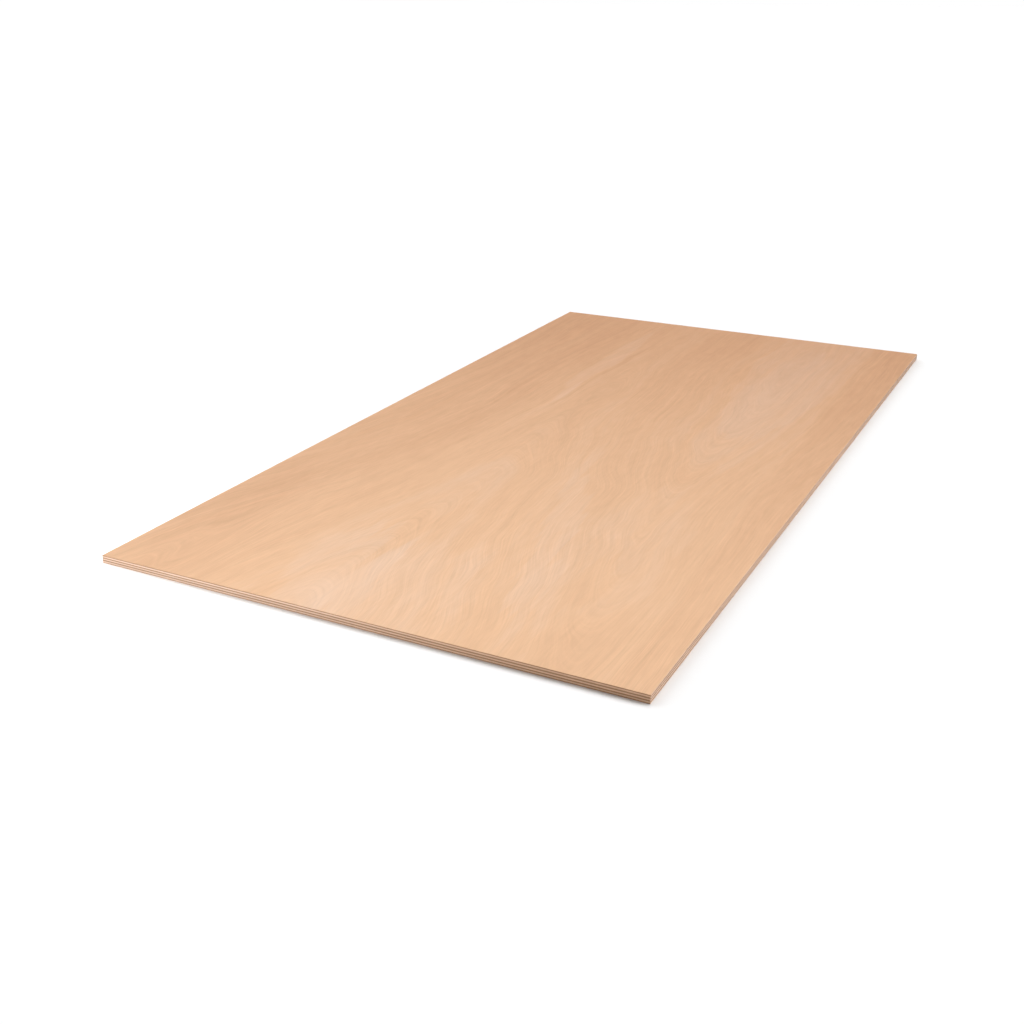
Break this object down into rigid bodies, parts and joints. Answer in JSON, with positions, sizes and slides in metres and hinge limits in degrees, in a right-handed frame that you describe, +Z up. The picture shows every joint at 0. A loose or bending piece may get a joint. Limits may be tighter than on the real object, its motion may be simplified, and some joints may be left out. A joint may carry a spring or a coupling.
{
  "type": "plywood sheet",
  "caption": "Flat rectangular plywood sheet, cross-laminated veneers with square sawn edges and a smooth sanded rotary-cut face.",
  "frame": {"origin": "middle of the underside", "axes": "+Y along the sheet's length and its face grain, +X across its width, +Z up through its thickness and out of its face"},
  "size_m": [1.22, 2.44, 0.018],
  "materials": {
    "face_veneer": "sanded rotary-cut hardwood veneer, unfinished, satin",
    "crossband": "sawn veneer, unfinished, matt",
    "core_ply": "sawn veneer, unfinished, matt",
    "back_veneer": "sanded rotary-cut hardwood veneer, unfinished, matt"
  },
  "bodies": {
    "root": {"face_veneer": "face_veneer", "crossband_1": "crossband", "core_ply_1": "core_ply", "crossband_2": "crossband", "core_ply_2": "core_ply", "crossband_3": "crossband", "back_veneer": "back_veneer"}
  },
  "joints": []
}
